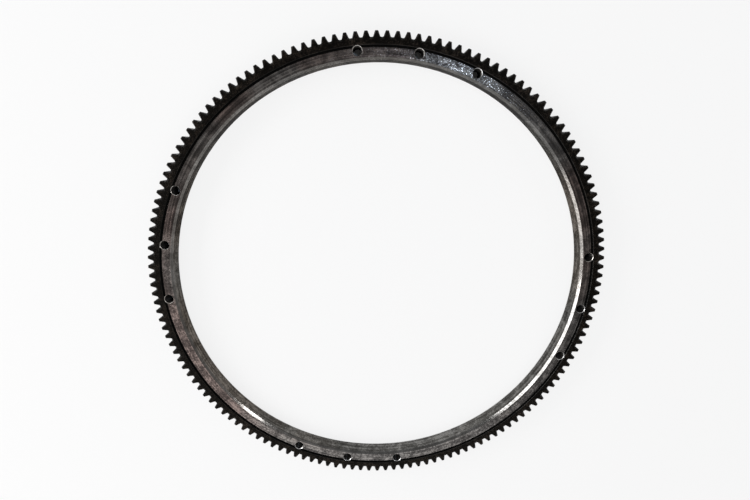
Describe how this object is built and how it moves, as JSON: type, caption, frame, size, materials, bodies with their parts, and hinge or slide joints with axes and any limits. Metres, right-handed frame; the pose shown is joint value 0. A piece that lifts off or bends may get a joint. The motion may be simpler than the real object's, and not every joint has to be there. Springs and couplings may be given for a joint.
{
  "type": "flywheel ring gear",
  "caption": "Toothed steel ring for an engine flywheel, with a stepped flange, a bevelled bore and tapped holes.",
  "frame": {"origin": "on the ring axis, in the plane of the back face", "axes": "+Z along the ring axis, out of the stepped front face; one group of holes is centred 45 degrees from +X"},
  "size_m": [0.4845, 0.4845, 0.018],
  "materials": {
    "ring_steel": "satin"
  },
  "bodies": {
    "root": {"ring_gear": "ring_steel"}
  },
  "joints": []
}
